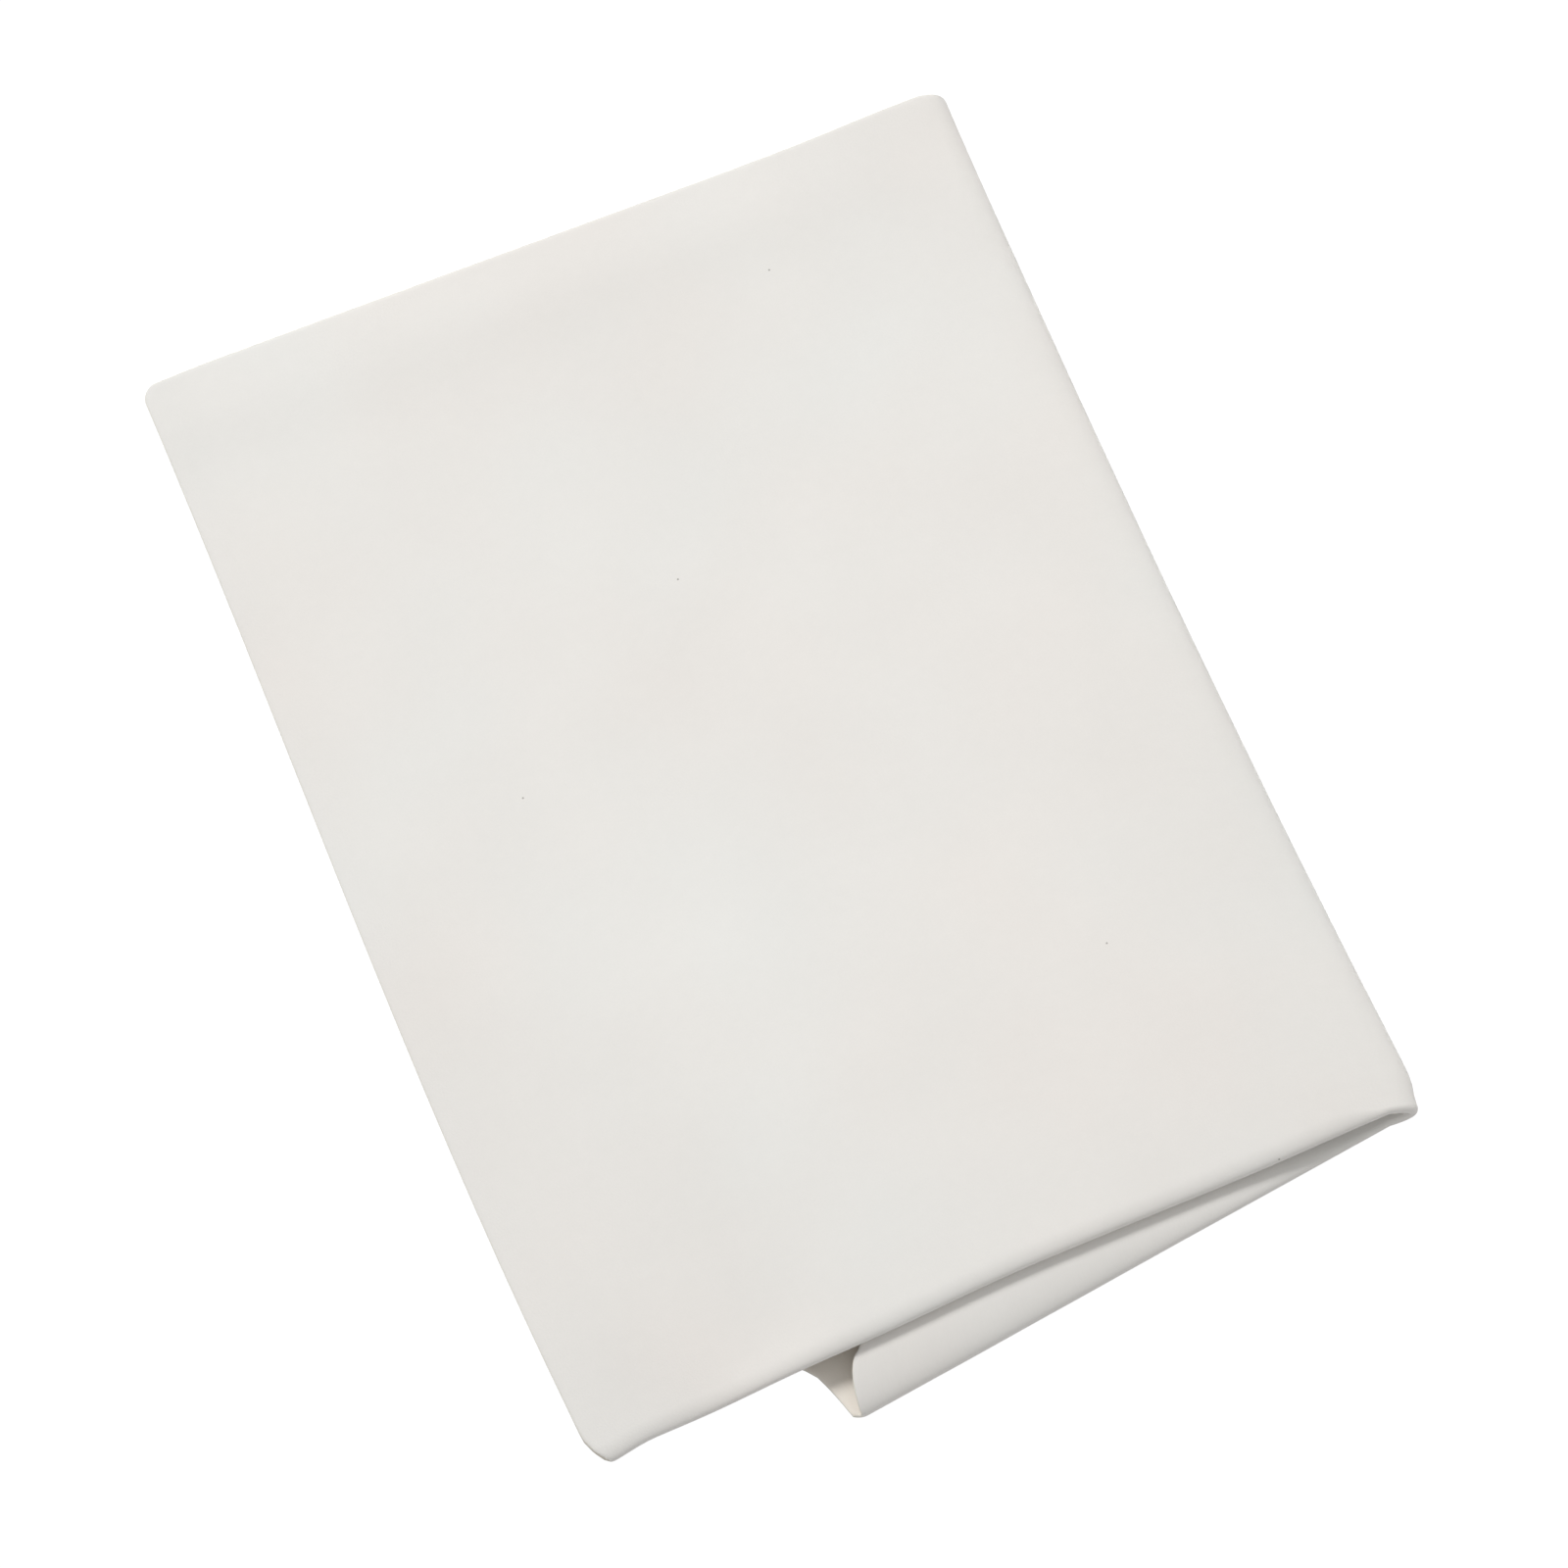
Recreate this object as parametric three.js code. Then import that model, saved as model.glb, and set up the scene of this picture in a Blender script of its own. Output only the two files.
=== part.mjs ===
// A chamois leather folded in four: the sheet is folded front to back, and then side over side.
// Millimetres, +Z up. X runs along the front fold and Y from the front fold to the back edges.
import * as THREE from 'three';

// The leather
const THICKNESS = 1.4;
const LAYER_GAP = 0.6; // air between two leaves that lie on each other
const TABLE_GAP = 0.3; // air under the overhang of the upper pair of leaves

// Widths from the side fold to the cut edges, and depths from the front fold to the back edges
const UPPER_WIDTH = 233.5;
const LOWER_WIDTH = 163.8;
const DEPTH_RIGHT = 323.2;
const DEPTH_LEFT = 328.7;
const SIDE_BOW = 2.9; // the side fold bows this far to the left half way back
const LEFT_BOW = 3.1; // the upper cut edge bows this far to the left, a third of the way back
const LEFT_LEAN = 1; // and reaches this much further out at its back corner
const SECOND_SETBACK = 4; // how far each hidden back edge stays behind the top leaf's
const THIRD_SETBACK = 14;
const BOTTOM_SETBACK = 7;

// The folds
const UPPER_BORE = 1.6; // clear height inside each front roll, away from the corner
const LOWER_BORE = 5.6;
const FRONT_REACH = 110; // the leaves come together over this distance behind the roll
const UPPER_OPENING = 8; // a roll opens over this distance from the corner, where it is pressed flat
const LOWER_OPENING = 80;
const UPPER_ROLL_REACH = 4.5; // the outer layer starts to curve down this far behind a roll's tip
const LOWER_ROLL_REACH = 15;
const LOWER_ROLL_FALL = 0.5; // how much sooner than an ellipse the open lower roll curves down
const FRONT_SHIFT = 1.6; // the upper roll lies this far behind the lower one at the corner
const FRONT_ADVANCE = 2.2; // and comes forward by this much further along
const FRONT_ADVANCE_START = 90;
const FRONT_ADVANCE_REACH = 85;
const END_DROOP = 1.8; // the upper roll's open end droops forward
const END_DROOP_REACH = 20;
const SIDE_BORE = 4.6; // clear height inside the inner side crease
const SIDE_BULGE = 4.6; // how much further than a half circle the side creases reach out
const SIDE_PINCH = 1.9; // the side creases are drawn in by this much at the corner
const SIDE_PINCH_REACH = 5;
const SIDE_REACH = 30; // the inner crease closes over this distance from the side fold
const BACK_PINCH = 2.2; // the side creases are flatter by this much at the back
const BACK_SHIFT = 1.5; // and start this much further out
const BACK_REACH = 60;
const CORNER_BULGE = 0.35; // share by which the corner's tip is longer than a roll's
const CORNER_AHEAD = 0.9; // and how far it stands forward
const LOWER_SKEW = THREE.MathUtils.degToRad(6.1); // the lower front roll slants out from the upper one

// The cut edges
const THIRD_SLANT = 17.5; // the lower pair's cut edge slants across its front roll, in on the third leaf
const THIRD_SLANT_REACH = 23.5;
const BOTTOM_SLANT = 22; // and out on the bottom leaf
const BOTTOM_SLANT_REACH = 34;
const SLANT_POWER = 2.6; // how late both slants set in
const TIP_ROUND = 1.7; // the lower roll's end is rounded at its tip
const TIP_ROUND_REACH = 6;
const DRAPE_REACH = 55; // the upper pair comes down to the table over this distance
const FRONT_TIP_INSET = 4.5; // the front roll's end is drawn in at its tip
const FRONT_TIP_REACH = 4.5;
const SIDE_TIP_REACH = 1.2; // the side crease's back end stands out at its tip
const CORNER_RADIUS = 5;
const RIM_RIDGE = 1; // a soft ridge runs inside the top leaf's cut edges
const RIM_INSET = 15;
const RIM_WIDTH = 13;

// Neighbouring stretches of leather are parted by this gap
const PART_GAP = 0.3;

// Distances between the middle surfaces of two layers
const LAYER_STEP = THICKNESS + LAYER_GAP;
const UPPER_STEP = THICKNESS + UPPER_BORE;
const LOWER_STEP = THICKNESS + LOWER_BORE;
const SIDE_STEP = THICKNESS + SIDE_BORE;
const STACK_STEP = 2 * LAYER_STEP + SIDE_STEP;
const STACK_MIDDLE = (THICKNESS + STACK_STEP) / 2;
const TIP_RADIUS = LAYER_STEP / 2; // of the turn at the tip of a front roll

// The lower front roll runs along lowerAlong from the corner, and the leaves behind it along lowerBack
const lowerAlong = new THREE.Vector2(-Math.cos(LOWER_SKEW), -Math.sin(LOWER_SKEW));
const lowerBack = new THREE.Vector2(-Math.sin(LOWER_SKEW), Math.cos(LOWER_SKEW));

// 1 on the fold line, falling smoothly to 0 behind it
function fade(distance, reach) {
  const share = Math.max(distance, 0) / reach;
  return Math.exp(-share * share);
}

// How far the side fold bows to the left, at a distance behind the front fold
function bow(y) {
  const share = THREE.MathUtils.clamp(y / DEPTH_RIGHT, 0, 1);
  return 4 * SIDE_BOW * share * (1 - share);
}

// How far the side fold's line stands to the right of the corner, at a distance behind the front fold
function creaseShift(y) {
  return BACK_SHIFT * fade(DEPTH_RIGHT - y, BACK_REACH) - bow(y);
}

// How far the upper cut edge stands out to the left
function leftBow(y) {
  const share = THREE.MathUtils.clamp(y / DEPTH_LEFT, 0, 1);
  return (27 / 4) * LEFT_BOW * share * (1 - share) ** 2 + LEFT_LEAN * share ** 3;
}

// Length of a quarter ellipse, near enough
function quarterArc(reach, height) {
  return (Math.PI / 2) * Math.sqrt((reach * reach + height * height) / 2);
}

function rollArc(reach, step) {
  const flat = reach - TIP_RADIUS;
  return quarterArc(reach, step - TIP_RADIUS) + flat + quarterArc(TIP_RADIUS, TIP_RADIUS);
}

const upperArc = rollArc(UPPER_ROLL_REACH, UPPER_STEP);
const lowerArc = rollArc(LOWER_ROLL_REACH, LOWER_STEP);
const cornerArc = 2 * quarterArc(TIP_RADIUS, TIP_RADIUS);
const sideArc = 2 * quarterArc(STACK_STEP / 2 + SIDE_BULGE, STACK_STEP / 2);
const innerArc = 2 * quarterArc(SIDE_STEP / 2 + SIDE_BULGE, SIDE_STEP / 2);

// Length of the lower pair from the corner to its cut edge. across is measured over the front roll
// from its tip: positive on the third leaf, negative on the bottom leaf.
function lowerLength(across) {
  const onThird = (Math.max(across, 0) / THIRD_SLANT_REACH) ** SLANT_POWER;
  const onBottom = (Math.max(-across, 0) / BOTTOM_SLANT_REACH) ** SLANT_POWER;
  const rounded = TIP_ROUND * (1 - fade(-across, TIP_ROUND_REACH));
  return LOWER_WIDTH - THIRD_SLANT * Math.tanh(onThird) + BOTTOM_SLANT * Math.tanh(onBottom) + rounded;
}

// Length of the upper pair from the side fold to its cut edge, drawn in at the front roll's tip
function upperLength(across) {
  const share = across / FRONT_TIP_REACH;
  return UPPER_WIDTH - FRONT_TIP_INSET * Math.exp(-share * share);
}

// How open each front roll is at a distance from the corner: 0 where it is pressed flat, 1 where it is full
function upperOpening(fromCorner) {
  return 1 - fade(fromCorner, UPPER_OPENING);
}

function lowerOpening(fromCorner) {
  return 1 - fade(fromCorner, LOWER_OPENING);
}

// Distance between the two layers of a front roll
function rollStep(open, fullStep) {
  return LAYER_STEP + (fullStep - LAYER_STEP) * open;
}

// How far the upper roll's tip lies behind the corner's fold line
function frontShift(fromCorner) {
  const ahead = THREE.MathUtils.smootherstep(fromCorner - FRONT_ADVANCE_START, 0, FRONT_ADVANCE_REACH);
  const droop = THREE.MathUtils.smootherstep(fromCorner - UPPER_WIDTH + END_DROOP_REACH, 0, END_DROOP_REACH);
  return FRONT_SHIFT - FRONT_ADVANCE * ahead - END_DROOP * droop;
}

// How far behind the corner's fold line each front roll starts
function upperFront(fromCorner) {
  return (UPPER_ROLL_REACH - TIP_RADIUS) * upperOpening(fromCorner) + frontShift(fromCorner);
}

function lowerFront(fromCorner) {
  return (LOWER_ROLL_REACH - TIP_RADIUS) * lowerOpening(fromCorner);
}

// Section of a front roll as (out, up) from the start of its flat layer. turn runs from -1 on the flat
// layer, round the tip at 0, to 1 on the layer that curves down.
function rollSection(turn, open, fullReach, fullStep, fall = 0) {
  const reach = TIP_RADIUS + (fullReach - TIP_RADIUS) * open;
  const height = rollStep(open, fullStep);
  if (turn >= 0) {
    const angle = (turn * Math.PI) / 2;
    const out = reach * Math.max(Math.cos(angle), 0) ** (1 + fall * open);
    return new THREE.Vector2(out, TIP_RADIUS + (height - TIP_RADIUS) * Math.sin(angle));
  }
  const tipShare = 1 - open / 2;
  if (-turn <= tipShare) {
    const angle = ((-turn / tipShare) * Math.PI) / 2;
    return new THREE.Vector2(reach - TIP_RADIUS * (1 - Math.cos(angle)), TIP_RADIUS * (1 - Math.sin(angle)));
  }
  return new THREE.Vector2(((reach - TIP_RADIUS) * (1 + turn)) / (1 - tipShare), 0);
}

// How much further than a half circle a side crease reaches out
function sideBulge(y) {
  const pinch = SIDE_PINCH * fade(y, SIDE_PINCH_REACH);
  return SIDE_BULGE - pinch - BACK_PINCH * fade(DEPTH_RIGHT - y, BACK_REACH);
}

// How far a rounded corner draws the cut edge in, at a distance from the back edge
function cornerInset(fromBack) {
  const share = THREE.MathUtils.clamp(1 - fromBack / CORNER_RADIUS, 0, 1);
  return CORNER_RADIUS * (1 - Math.sqrt(1 - share * share));
}

function ridge(fromEdge) {
  const share = (fromEdge - RIM_INSET) / RIM_WIDTH;
  return RIM_RIDGE * Math.exp(-share * share);
}

// Heights of the four leaves' middle surfaces over a point of the plan
function leafHeights(x, y) {
  const along = x * lowerAlong.x + y * lowerAlong.y;
  const back = x * lowerBack.x + y * lowerBack.y;
  const fromCrease = creaseShift(y) - x;
  const behindUpper = y - upperFront(fromCrease);
  const behindLower = back - lowerFront(along);
  const upperStep = rollStep(upperOpening(fromCrease) * fade(behindUpper, FRONT_REACH), UPPER_STEP);
  const lowerStep = rollStep(lowerOpening(along) * fade(behindLower, FRONT_REACH), LOWER_STEP);
  const middleStep = LAYER_STEP + (SIDE_STEP - LAYER_STEP) * fade(fromCrease, SIDE_REACH);
  const pastThird = THREE.MathUtils.smootherstep(along - lowerLength(back), 0, DRAPE_REACH);
  const pastBottom = THREE.MathUtils.smootherstep(along - lowerLength(-back), 0, DRAPE_REACH);
  const bottom = THICKNESS / 2;
  const third = bottom + lowerStep;
  const overBottom = (LAYER_STEP - TABLE_GAP) * (1 - pastBottom);
  const overThird = (lowerStep + middleStep - LAYER_STEP) * (1 - pastThird);
  const second = bottom + TABLE_GAP + overBottom + overThird;
  const backEdge = DEPTH_RIGHT + ((DEPTH_LEFT - DEPTH_RIGHT) * -x) / UPPER_WIDTH;
  const backRim = ridge(backEdge - y) * (1 - fade(fromCrease, 2 * RIM_WIDTH));
  const rims = backRim + ridge(UPPER_WIDTH - fromCrease);
  const top = second + upperStep + rims * (1 - fade(behindUpper, 2 * RIM_WIDTH));
  return { bottom, third, second, top };
}

// Each leaf in plan, before its front is drawn back to where the roll starts: side is 0 at the side fold
// and 1 at the cut edge, back is 0 at the front and 1 at the back. The creases of the second and third
// leaves slant with the lower pair.
const leafPlans = {
  top(side, back) {
    const depth = back * DEPTH_LEFT;
    const crease = back * DEPTH_RIGHT;
    const width = upperLength(upperArc / 2 + depth) - cornerInset(DEPTH_LEFT - depth);
    return mixed(creaseShift(crease), crease, -width - leftBow(depth), depth, side);
  },
  second(side, back) {
    const depth = back * (DEPTH_LEFT - SECOND_SETBACK);
    const crease = back * (DEPTH_RIGHT - SECOND_SETBACK);
    const width = upperLength(upperArc / 2 + depth) - SECOND_SETBACK * back;
    return mixed(lowerBack.x * crease, lowerBack.y * crease, -width - leftBow(depth), depth, side);
  },
  third(side, back) {
    const depth = back * (DEPTH_RIGHT - THIRD_SETBACK);
    const edge = lowerPoint(lowerLength(lowerArc / 2 + depth), depth);
    return mixed(lowerBack.x * depth, lowerBack.y * depth, edge.x, edge.y, side);
  },
  bottom(side, back) {
    const depth = back * (DEPTH_RIGHT - BOTTOM_SETBACK);
    const edge = lowerPoint(lowerLength(-lowerArc / 2 - depth), depth);
    return mixed(creaseShift(depth), depth, edge.x, edge.y, side);
  },
};

function mixed(x0, y0, x1, y1, share) {
  return new THREE.Vector2(x0 + (x1 - x0) * share, y0 + (y1 - y0) * share);
}

function lowerPoint(along, back) {
  return new THREE.Vector2()
    .addScaledVector(lowerAlong, along)
    .addScaledVector(lowerBack, back);
}

function leafPoint(name, side, back) {
  const at = leafPlans[name](side, back);
  if (name === 'top' || name === 'second') {
    const crease = leafPlans[name](0, back);
    at.y += (1 - back) * upperFront(crease.x - at.x);
  } else {
    at.addScaledVector(lowerBack, (1 - back) * lowerFront(at.dot(lowerAlong)));
  }
  return new THREE.Vector3(at.x, at.y, leafHeights(at.x, at.y)[name]);
}

// The front rolls. turn runs from -1 on the inner layer to 1 on the outer layer.
function upperRollPoint(side, turn) {
  const x = -side * upperLength((turn * upperArc) / 2);
  const section = rollSection(turn, upperOpening(-x), UPPER_ROLL_REACH, UPPER_STEP);
  const y = upperFront(-x) - section.x;
  return new THREE.Vector3(x, y, leafHeights(x, y).second + section.y);
}

function lowerRollPoint(side, turn) {
  const along = side * lowerLength((-turn * lowerArc) / 2);
  const section = rollSection(-turn, lowerOpening(along), LOWER_ROLL_REACH, LOWER_STEP, LOWER_ROLL_FALL);
  const at = lowerPoint(along, lowerFront(along) - section.x);
  return new THREE.Vector3(at.x, at.y, THICKNESS / 2 + section.y);
}

// The side creases. down runs from 0 on the upper pair to 1 on the lower pair.
function creaseAngle(down) {
  return (0.5 - down) * Math.PI;
}

// How far behind the corner's fold line the side creases start
function cornerShift(down) {
  return (1 - down) * FRONT_SHIFT - CORNER_AHEAD * Math.cos(creaseAngle(down));
}

function outerCreasePoint(down, back) {
  const angle = creaseAngle(down);
  const radius = STACK_STEP / 2;
  const y = back * (DEPTH_RIGHT - BOTTOM_SETBACK * down + SIDE_TIP_REACH * Math.cos(angle));
  const x = (radius + sideBulge(y)) * Math.cos(angle) + creaseShift(y);
  const shifted = y + (1 - back) * cornerShift(down);
  return new THREE.Vector3(x, shifted, STACK_MIDDLE + radius * Math.sin(angle));
}

function innerCreasePoint(down, back) {
  const angle = creaseAngle(down);
  const setback = SECOND_SETBACK + (THIRD_SETBACK - SECOND_SETBACK) * down;
  const at = lowerPoint(0, back * (DEPTH_RIGHT - setback));
  const y = at.y + (1 - back) * cornerShift(down);
  const heights = leafHeights(at.x, y);
  const radius = (heights.second - heights.third) / 2;
  const open = (2 * radius - THICKNESS) / SIDE_BORE;
  const x = at.x + (radius + sideBulge(at.y) * open * open) * Math.cos(angle);
  return new THREE.Vector3(x, y, heights.third + radius * (1 + Math.sin(angle)));
}

// The corner, where the flattened front roll turns down round the side crease
function cornerPoint(down, turn) {
  const angle = creaseAngle(down);
  const section = rollSection(turn, 0, TIP_RADIUS, LAYER_STEP);
  const radius = SIDE_STEP / 2 + section.y;
  const x = (radius + sideBulge(0)) * Math.cos(angle) - lowerBack.x * down * section.x;
  const tip = (1 + CORNER_BULGE * Math.cos(angle)) * section.x;
  const y = cornerShift(down) - (1 - down + lowerBack.y * down) * tip;
  return new THREE.Vector3(x, y, STACK_MIDDLE + radius * Math.sin(angle));
}

// The whole sheet's middle surface. across: 0 to 1 upper pair, 1 to 2 side creases, 2 to 3 lower pair.
// along: 0 to 1 inner layer from the back, 1 to 2 front roll, 2 to 3 outer layer to the back.
function sheetPoint(across, along) {
  const turn = 2 * along - 3;
  if (across <= 1) {
    if (along <= 1) return leafPoint('second', 1 - across, 1 - along);
    if (along >= 2) return leafPoint('top', 1 - across, along - 2);
    return upperRollPoint(1 - across, turn);
  }
  if (across >= 2) {
    if (along <= 1) return leafPoint('third', across - 2, 1 - along);
    if (along >= 2) return leafPoint('bottom', across - 2, along - 2);
    return lowerRollPoint(across - 2, turn);
  }
  if (along <= 1) return innerCreasePoint(across - 1, 1 - along);
  if (along >= 2) return outerCreasePoint(across - 1, along - 2);
  return cornerPoint(across - 1, turn);
}

const SLOPE_STEP = 1e-3;

function sheetNormal(across, along) {
  const before = Math.max(across - SLOPE_STEP, 0);
  const after = Math.min(across + SLOPE_STEP, 3);
  const nearer = Math.max(along - SLOPE_STEP, 0);
  const farther = Math.min(along + SLOPE_STEP, 3);
  const sideways = sheetPoint(after, along).sub(sheetPoint(before, along));
  const onward = sheetPoint(across, farther).sub(sheetPoint(across, nearer));
  return sideways.cross(onward).normalize();
}

// Even steps, or steps that are closer at both ends
function evenSteps(from, to, count) {
  return Array.from({ length: count + 1 }, (_, i) => from + ((to - from) * i) / count);
}

function easedSteps(from, to, count) {
  return evenSteps(0, 1, count).map((s) => from + ((to - from) * (1 - Math.cos(s * Math.PI))) / 2);
}

// A closed slab of leather over a stretch of the sheet
function stretchGeometry(columns, rows) {
  const positions = [];
  for (const face of [1, -1]) {
    for (const across of columns) {
      for (const along of rows) {
        const normal = sheetNormal(across, along);
        const point = sheetPoint(across, along).addScaledVector(normal, (face * THICKNESS) / 2);
        positions.push(point.x, point.y, point.z);
      }
    }
  }
  const last = columns.length - 1;
  const end = rows.length - 1;
  const at = (face, i, j) => (face * columns.length + i) * rows.length + j;
  const indices = [];
  const quad = (a, b, c, d) => indices.push(a, b, c, a, c, d);
  for (let i = 0; i < last; i += 1) {
    for (let j = 0; j < end; j += 1) {
      quad(at(0, i, j), at(0, i + 1, j), at(0, i + 1, j + 1), at(0, i, j + 1));
      quad(at(1, i, j), at(1, i, j + 1), at(1, i + 1, j + 1), at(1, i + 1, j));
    }
  }
  for (let i = 0; i < last; i += 1) {
    quad(at(0, i, 0), at(1, i, 0), at(1, i + 1, 0), at(0, i + 1, 0));
    quad(at(0, i, end), at(0, i + 1, end), at(1, i + 1, end), at(1, i, end));
  }
  for (let j = 0; j < end; j += 1) {
    quad(at(0, 0, j), at(0, 0, j + 1), at(1, 0, j + 1), at(1, 0, j));
    quad(at(0, last, j), at(1, last, j), at(1, last, j + 1), at(0, last, j + 1));
  }
  const geometry = new THREE.BufferGeometry();
  geometry.setAttribute('position', new THREE.Float32BufferAttribute(positions, 3));
  geometry.setIndex(indices);
  geometry.computeVertexNormals();
  return geometry;
}

// Half the parting gap as a share of the stretch that it is taken from
const trim = (length) => PART_GAP / 2 / length;
const upperTrim = trim(UPPER_WIDTH);
const lowerTrim = trim(LOWER_WIDTH);
const depthTrim = trim(DEPTH_RIGHT);
const upperRollTrim = trim((upperArc + cornerArc) / 2);
const lowerRollTrim = trim((lowerArc + cornerArc) / 2);
const cornerRollTrim = trim(cornerArc);
const outerTrim = trim(sideArc);
const innerTrim = trim(innerArc);
const cornerTrim = trim((sideArc + innerArc) / 2);

const LEAF_COLUMNS = 14;
const LEAF_ROWS = 18;
const ROLL_STEPS = 12;
const CREASE_STEPS = 6;

const upperColumns = easedSteps(0, 1 - upperTrim, LEAF_COLUMNS);
const lowerColumns = easedSteps(2 + lowerTrim, 3, LEAF_COLUMNS);
const innerRows = easedSteps(0, 1 - depthTrim, LEAF_ROWS);
const outerRows = easedSteps(2 + depthTrim, 3, LEAF_ROWS);
const rollRows = (gap) => evenSteps(1 + gap, 2 - gap, ROLL_STEPS);
const upperHalf = (gap) => evenSteps(1 + gap, 1.5 - gap, CREASE_STEPS);
const lowerHalf = (gap) => evenSteps(1.5 + gap, 2 - gap, CREASE_STEPS);

const stretches = [
  ['top_leaf', upperColumns, outerRows, 0xe6e4dd],
  ['second_leaf', upperColumns, innerRows, 0xe2dfd6],
  ['third_leaf', lowerColumns, innerRows, 0xdedacf],
  ['bottom_leaf', lowerColumns, outerRows, 0xdbd6ca],
  ['upper_front_roll', upperColumns, rollRows(upperRollTrim), 0xe3e0d8],
  ['lower_front_roll', lowerColumns, rollRows(lowerRollTrim), 0xd8d3c7],
  ['outer_crease_upper', upperHalf(outerTrim), outerRows, 0xe0ddd4],
  ['outer_crease_lower', lowerHalf(outerTrim), outerRows, 0xdcd8cd],
  ['inner_crease_upper', upperHalf(innerTrim), innerRows, 0xdfdbd1],
  ['inner_crease_lower', lowerHalf(innerTrim), innerRows, 0xddd9ce],
  ['corner_crease_upper', upperHalf(cornerTrim), rollRows(cornerRollTrim), 0xdad5ca],
  ['corner_crease_lower', lowerHalf(cornerTrim), rollRows(cornerRollTrim), 0xd6d1c5],
];

const chamois = new THREE.Group();
chamois.name = 'chamois_leather';
for (const [name, columns, rows, color] of stretches) {
  const material = new THREE.MeshStandardMaterial({ color, roughness: 0.95, metalness: 0 });
  const mesh = new THREE.Mesh(stretchGeometry(columns, rows), material);
  mesh.name = name;
  chamois.add(mesh);
}

// The origin is under the middle of the folded sheet, on the table
const bounds = new THREE.Box3().setFromObject(chamois);
const middle = bounds.getCenter(new THREE.Vector3());
chamois.position.set(-middle.x, -middle.y, -bounds.min.z);

export default chamois;
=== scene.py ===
# %% [markdown]
# A chamois is one soft, matt sheet of oil-tanned sheepskin. This one lies folded in four: front to back,
# and then side over side. The lower pair of leaves has slipped round by a few degrees, so its front fold
# shows as a rolled flap with an open end. The frame gives the folded stack's place and the side fold's
# hinge, and this script makes the leather that is seen.

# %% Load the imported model
import math

import bpy
import numpy as np
from mathutils import Matrix, Vector


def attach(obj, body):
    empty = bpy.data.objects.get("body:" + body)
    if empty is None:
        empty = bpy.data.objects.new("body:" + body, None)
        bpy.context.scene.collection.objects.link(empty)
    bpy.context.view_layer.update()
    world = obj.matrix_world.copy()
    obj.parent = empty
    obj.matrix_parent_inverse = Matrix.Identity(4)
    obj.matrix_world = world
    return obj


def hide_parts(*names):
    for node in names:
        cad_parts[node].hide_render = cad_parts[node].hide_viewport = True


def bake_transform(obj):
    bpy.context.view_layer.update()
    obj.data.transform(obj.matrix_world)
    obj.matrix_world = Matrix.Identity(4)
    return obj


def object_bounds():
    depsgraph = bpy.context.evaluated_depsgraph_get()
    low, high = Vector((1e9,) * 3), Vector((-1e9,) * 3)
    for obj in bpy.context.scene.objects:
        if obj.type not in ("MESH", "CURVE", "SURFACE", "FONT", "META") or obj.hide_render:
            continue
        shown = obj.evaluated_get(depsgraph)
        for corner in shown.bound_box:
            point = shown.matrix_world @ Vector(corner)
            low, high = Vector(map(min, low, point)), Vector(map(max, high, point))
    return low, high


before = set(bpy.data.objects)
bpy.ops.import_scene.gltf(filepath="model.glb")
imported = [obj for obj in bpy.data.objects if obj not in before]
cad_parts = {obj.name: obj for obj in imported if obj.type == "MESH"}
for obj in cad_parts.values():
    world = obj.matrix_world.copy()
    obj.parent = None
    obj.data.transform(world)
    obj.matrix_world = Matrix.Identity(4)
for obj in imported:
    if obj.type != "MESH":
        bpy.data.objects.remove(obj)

cad_low, cad_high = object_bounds()
MM = 0.001
print("CAD box, mm:", [round(side / MM, 1) for side in cad_high - cad_low])

# %% [markdown]
# The camera comes first, because every later judgement is made through it. It looks steeply down on the
# stack from the front left, through a long lens. The lens is written in pixels of the picture, as a camera
# match gives it, and turned into Blender's millimetres through the width of the sensor.

# %% Camera
PICTURE_PIXELS = 1600
LENS_PIXELS = 5500
SENSOR_MM = 36
NEAREST_SEEN = 0.01
VIEW_AZIMUTH = math.radians(-23.08)
VIEW_ELEVATION = math.radians(72.7)
VIEW_DISTANCE = 1.4886
VIEW_TARGET = Vector((0.00086, -0.00263, 0))

camera_data = bpy.data.cameras.new("camera")
camera_data.sensor_width = SENSOR_MM
camera_data.lens = SENSOR_MM * LENS_PIXELS / PICTURE_PIXELS
camera_data.clip_start = NEAREST_SEEN
camera = bpy.data.objects.new("camera", camera_data)
bpy.context.scene.collection.objects.link(camera)

level = math.cos(VIEW_ELEVATION)
backward = Vector((
    math.sin(VIEW_AZIMUTH) * level,
    -math.cos(VIEW_AZIMUTH) * level,
    math.sin(VIEW_ELEVATION),
))
camera.matrix_world = Matrix.LocRotScale(
    VIEW_TARGET + VIEW_DISTANCE * backward, backward.to_track_quat("Z", "Y"), None
)
bpy.context.scene.camera = camera
print("Lens, mm:", camera_data.lens)

# %% [markdown]
# The folded sheet is a rule, not a scan: every point of the flat leather has one place in the stack. The
# sizes below are millimetres, measured from the point where the two folds cross at the front right corner.
# X runs along the front fold to the side fold, and Y from the front fold to the back edges.

# %% Sizes of the leather and its folds
# The leather, and the air between its layers and under the overhang
THICKNESS = 1.4
LAYER_GAP = 0.6
TABLE_GAP = 0.3

# Outlines of the four leaves
UPPER_WIDTH = 233.5
LOWER_WIDTH = 163.8
DEPTH_RIGHT = 323.2
DEPTH_LEFT = 328.7
SIDE_BOW = 2.9
LEFT_BOW = 3.1
LEFT_LEAN = 1
SECOND_SETBACK = 4
THIRD_SETBACK = 14
BOTTOM_SETBACK = 7

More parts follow.
